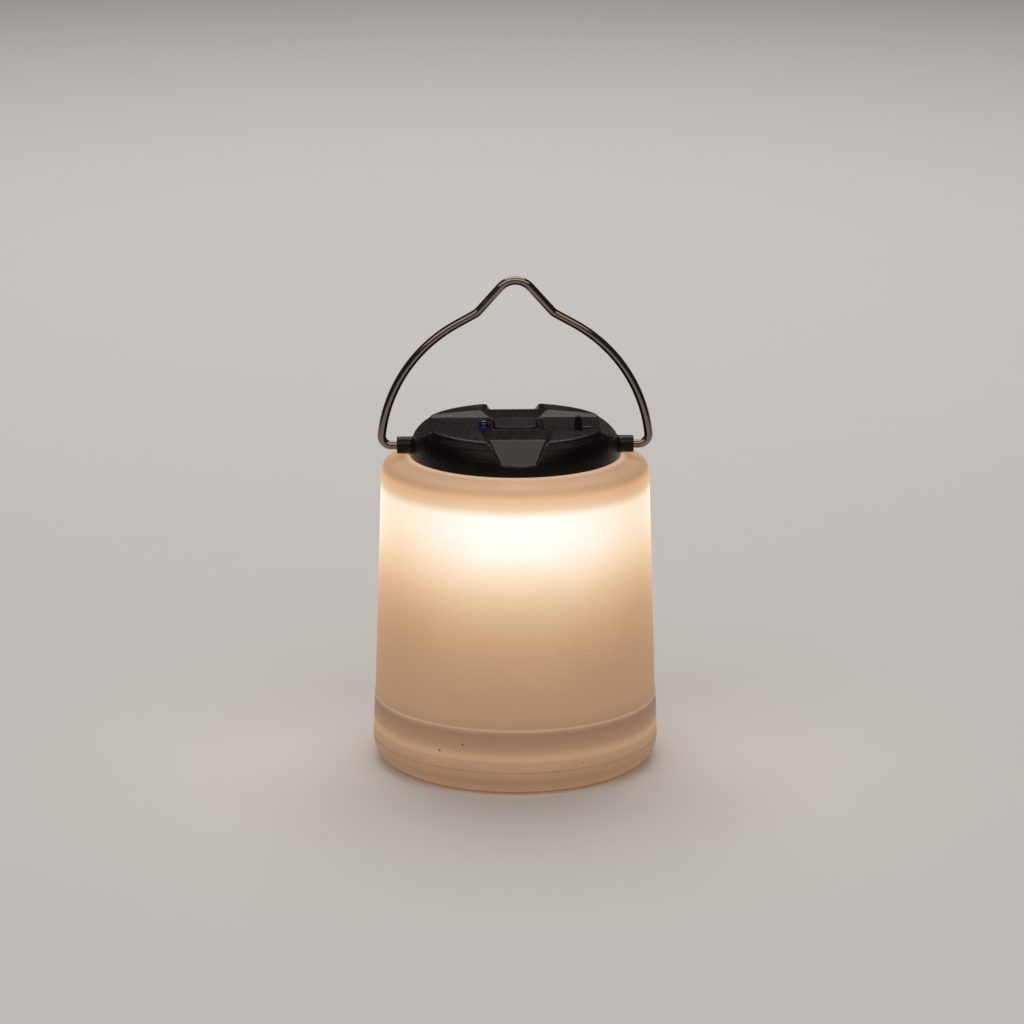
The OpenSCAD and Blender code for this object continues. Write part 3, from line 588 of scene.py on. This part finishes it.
def laminateBoard(name, look):
    # circuit laminate: a lacquered sheet with a faint woven ground and round solder spots
    material, tree, shader = newMaterial(name)
    coords = addNode(tree, "ShaderNodeTexCoord", (-1100, 0)).outputs["Object"]
    weave = addNode(tree, "ShaderNodeTexWave", (-800, 200), bands_direction="DIAGONAL")
    feed(tree, coords, weave.inputs["Vector"])
    weave.inputs["Scale"].default_value = look["weaveSize"]
    weave.inputs["Distortion"].default_value = look["weaveBend"]
    ground = addMix(tree, weave.outputs["Fac"], look["dark"], look["light"], (-500, 200))
    pads = addNode(tree, "ShaderNodeTexVoronoi", (-800, -150))
    feed(tree, coords, pads.inputs["Vector"])
    pads.inputs["Scale"].default_value = look["padSize"]
    inner, outer = look["padEdge"]
    solder = addRamp(tree, pads.outputs["Distance"], [(inner, 1.0), (outer, 0.0)], (-500, -150))
    face = addMix(tree, solder, ground, look["solder"], (-250, 100))
    low, high = look["gloss"]
    gloss = addRamp(tree, solder, [(0.0, low), (1.0, high)], (-250, -50))
    tree.links.new(face, shader.inputs["Base Color"])
    tree.links.new(solder, shader.inputs["Metallic"])
    tree.links.new(gloss, shader.inputs["Roughness"])
    setShader(shader, specular=0.5)
    addBump(tree, shader, solder, look["padDepth"], fineReach)
    return material


boardLook = {
    "dark": (0.006, 0.05, 0.02), "light": (0.01, 0.085, 0.035), "solder": (0.55, 0.55, 0.56),
    "weaveSize": 900.0, "weaveBend": 1.5, "padSize": 260.0, "padEdge": (0.12, 0.16),
    "padDepth": 0.3, "gloss": (0.3, 0.42),
}
lampBoardLook = {
    **boardLook, "dark": (0.68, 0.68, 0.66), "light": (0.78, 0.78, 0.76), "padSize": 200.0,
}
dress(("main_board",), laminateBoard("boardLaminate", boardLook))
dress(("led_board",), laminateBoard("lampBoard", lampBoardLook))


def chipFace(name, look):
    # a light chip: yellow phosphor in the middle of a white case
    material, tree, shader = newMaterial(name)
    coords = addNode(tree, "ShaderNodeTexCoord", (-900, 0)).outputs["Object"]
    grains = addNoise(tree, coords, look["grainSize"], 4, (-700, 0))
    shape = addNode(tree, "ShaderNodeNewGeometry", (-700, 250))
    split = addNode(tree, "ShaderNodeSeparateXYZ", (-500, 250))
    tree.links.new(shape.outputs["Normal"], split.inputs[0])
    down = addMath(tree, "MULTIPLY", split.outputs[2], -1.0, (-350, 250), clamp=True)
    phosphor = addMix(tree, grains, look["dark"], look["light"], (-350, 0))
    face = addMix(tree, down, look["case"], phosphor, (-150, 100))
    low, high = look["gloss"]
    gloss = addRamp(tree, grains, [(0.3, low), (0.7, high)], (-350, -200))
    tree.links.new(face, shader.inputs["Base Color"])
    tree.links.new(gloss, shader.inputs["Roughness"])
    addBump(tree, shader, grains, look["grainDepth"])
    return material


chipLook = {
    "dark": (0.70, 0.42, 0.06), "light": (0.80, 0.55, 0.12), "case": (0.78, 0.77, 0.74),
    "grainSize": 3000.0, "grainDepth": 0.2, "gloss": (0.35, 0.5),
}
dress(("led_chips",), chipFace("lampChip", chipLook))


def metalFinish(name, look):
    # bare or plated metal: drawn tone, uneven gloss and fine scratches
    material, tree, shader = newMaterial(name)
    grain = useGrain(tree, look)
    mottle = grain.outputs["Mottle"]
    tone = addMix(tree, mottle, scaled(look["tone"], look["unevenness"]), look["tone"], (-350, 100))
    tree.links.new(tone, shader.inputs["Base Color"])
    low, high = look["roughness"]
    gloss = addRamp(tree, mottle, [(0.3, low), (0.7, high)], (-350, -100))
    tree.links.new(gloss, shader.inputs["Roughness"])
    setShader(shader, metallic=1.0)
    addBump(tree, shader, grain.outputs["Height"], look["scratchDepth"], fineReach)
    return material


screwLook = {
    "tone": (0.55, 0.54, 0.52), "unevenness": 0.75, "roughness": (0.25, 0.4), "grainSize": 1600.0,
    "mottleSize": 500.0, "scratchDepth": 0.2,
}
dress(("head_screws", "board_screws", "led_board_screws"), metalFinish("screwSteel", screwLook))
socketLook = {**screwLook, "tone": (0.62, 0.62, 0.61), "roughness": (0.2, 0.32)}
dress(("usb_socket",), metalFinish("socketSteel", socketLook))
foilLook = {
    "tone": (0.72, 0.72, 0.73), "unevenness": 0.85, "roughness": (0.3, 0.5), "grainSize": 300.0,
    "mottleSize": 120.0, "scratchDepth": 0.8,
}
dress(("battery_pouch",), metalFinish("batteryFoil", foilLook))
print("boards, chips, screws and battery dressed")

wireLook = {
    "tone": (0.27, 0.225, 0.19), "unevenness": 0.85, "roughness": (0.09, 0.16), "grainSize": 900.0,
    "mottleSize": 300.0, "scratchDepth": 0.05,
}
dress(("bail",), metalFinish("bailWire", wireLook))

lampLook = {
    "clear": (0.09, 0.09, 0.20), "clearShade": 0.9, "clearRoughness": 0.04, "clearIor": 1.5,
    "rippleSize": 900.0, "rippleDepth": 0.05,
    "core": (0.02, 0.02, 0.09), "coreShade": 0.6, "coreRoughness": 0.3,
    "coreGlow": (0.028, 0.028, 0.12), "glowShade": 0.5, "cloudSize": 1500.0,
    "coreRadius": 0.0010, "coreDrop": 0.0017, "coreFoot": 0.0030,
    "coreSteps": 24, "domeSteps": 6, "domeStep": 15, "tip": 0.00001,
}


def clearEpoxy(name, look):
    # clear cast resin, faintly blue, with a trace of ripple
    material, tree, shader = newMaterial(name)
    coords = addNode(tree, "ShaderNodeTexCoord", (-900, 0)).outputs["Object"]
    ripple = addNoise(tree, coords, look["rippleSize"], 3, (-700, 0))
    tint = addMix(tree, ripple, scaled(look["clear"], look["clearShade"]), look["clear"], (-300, 100))
    tree.links.new(tint, shader.inputs["Base Color"])
    shader.inputs["Transmission Weight"].default_value = 1.0
    setShader(shader, roughness=look["clearRoughness"], ior=look["clearIor"])
    addBump(tree, shader, ripple, look["rippleDepth"], fineReach)
    return material


def coreRings(look, top):
    # radius and height of each ring of the core, from its foot to its rounded top
    radius = look["coreRadius"]
    rings = [(radius, top - look["coreFoot"]), (radius, top - radius)]
    for step in range(look["domeSteps"]):
        angle = math.radians(look["domeStep"] * (step + 1))
        rings.append((radius * math.cos(angle) + look["tip"], top - radius + radius * math.sin(angle)))
    return rings


def coreBlue(name, look):
    # cloudy blue that gives off a little light
    material, tree, shader = newMaterial(name)
    coords = addNode(tree, "ShaderNodeTexCoord", (-900, 0)).outputs["Object"]
    cloud = addNoise(tree, coords, look["cloudSize"], 4, (-700, 0))
    dimBody = scaled(look["core"], look["coreShade"])
    dimGlow = scaled(look["coreGlow"], look["glowShade"])
    body = addMix(tree, cloud, dimBody, look["core"], (-300, 100))
    glow = addMix(tree, cloud, dimGlow, look["coreGlow"], (-300, -100))
    tree.links.new(body, shader.inputs["Base Color"])
    tree.links.new(glow, shader.inputs["Emission Color"])
    setShader(shader, glow=1.0, roughness=look["coreRoughness"])
    return material


def lampCore(name, look):
    # the lit cup inside the dome: a turned bead with a rounded top, standing on the lamp's axis
    low, high = (Vector(corner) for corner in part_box("indicator_led"))
    middle = (low + high) / 2
    steps = look["coreSteps"]
    mesh = bmesh.new()
    rings = []
    for size, level in coreRings(look, high.z - look["coreDrop"]):
        ring = []
        for step in range(steps):
            angle = 2 * math.pi * step / steps
            x, y = middle.x + size * math.cos(angle), middle.y + size * math.sin(angle)
            ring.append(mesh.verts.new((x, y, level)))
        rings.append(ring)
    for below, above in zip(rings, rings[1:]):
        for step in range(steps):
            after = (step + 1) % steps
            mesh.faces.new((below[step], below[after], above[after], above[step]))
    mesh.faces.new(rings[-1])
    mesh.faces.new(rings[0][::-1])
    core = addObject(name, mesh)
    smoothShaded(core.data)
    core.data.materials.append(coreBlue(name + "Blue", look))
    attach(core, "lantern")


lampCore("lampCore", lampLook)
dress(("indicator_led",), clearEpoxy("lampEpoxy", lampLook))
print("bail and indicator dressed")

studioLook = {
    "floorColour": (0.80, 0.81, 0.82), "floorHalf": 4.0, "floorGap": 0.0001,
    "fibreSize": 30.0, "fibreShade": 0.985,
    "surround": (0.04, 0.039, 0.038),
    # each soft panel hangs level: its middle, its size and its radiance
    "rearPanel": ((0.0, 1.08, 1.5), (1.5, 1.8), 2.3),
    "frontPanel": ((-0.2, -1.6, 1.4), (3.0, 2.2), 1.2),
    "lampColour": (1.0, 0.93, 0.87),
}


def makeFloor(look):
    mesh = bmesh.new()
    bmesh.ops.create_grid(mesh, x_segments=8, y_segments=8, size=look["floorHalf"])
    floor = addObject("floorSheet", mesh)
    floor.location = (0, 0, -look["floorGap"])
    material, tree, shader = newMaterial("floorPaper")
    coords = addNode(tree, "ShaderNodeTexCoord", (-700, 0)).outputs["Object"]
    fibres = addNoise(tree, coords, look["fibreSize"], 4, (-500, 0))
    pale = look["floorColour"]
    paper = addMix(tree, fibres, scaled(pale, look["fibreShade"]), pale, (-250, 0))
    tree.links.new(paper, shader.inputs["Base Color"])
    setShader(shader, roughness=0.9, specular=0.1)
    floor.data.materials.append(material)


def makeLamp(name, look):
    place, size, radiance = look[name]
    data = bpy.data.lights.new(name, "AREA")
    data.shape = "RECTANGLE"
    data.size, data.size_y = size
    data.energy = radiance * size[0] * size[1] * math.pi
    data.color = look["lampColour"]
    lamp = bpy.data.objects.new(name, data)
    bpy.context.collection.objects.link(lamp)
    lamp.location = place


def makeWorld(look):
    world = bpy.data.worlds.new("studioAir")
    bpy.context.scene.world = world
    world.use_nodes = True
    back = world.node_tree.nodes["Background"]
    back.inputs["Color"].default_value = (*look["surround"], 1)
    back.inputs["Strength"].default_value = 1.0


cameraLook = {
    "tilt": 14.44, "turn": -1.75, "reach": 1.0047, "lens": 119.5, "sensor": 36, "nearest": 0.01,
    "aim": (-0.00095, 0, 0.07445),
}


def makeCamera(look):
    tilt = math.radians(look["tilt"])
    turn = math.radians(look["turn"])
    data = bpy.data.cameras.new("studioCamera")
    data.lens = look["lens"]
    data.sensor_width = look["sensor"]
    data.clip_start = look["nearest"]
    camera = bpy.data.objects.new("studioCamera", data)
    bpy.context.collection.objects.link(camera)
    back = Vector((math.sin(turn) * math.cos(tilt), -math.cos(turn) * math.cos(tilt), math.sin(tilt)))
    camera.location = Vector(look["aim"]) + back * look["reach"]
    camera.rotation_euler = (-back).to_track_quat("-Z", "Y").to_euler()
    bpy.context.scene.camera = camera


makeFloor(studioLook)
makeWorld(studioLook)
makeLamp("rearPanel", studioLook)
makeLamp("frontPanel", studioLook)
makeCamera(cameraLook)
bpy.context.scene.view_settings.view_transform = "Standard"
print("studio set")
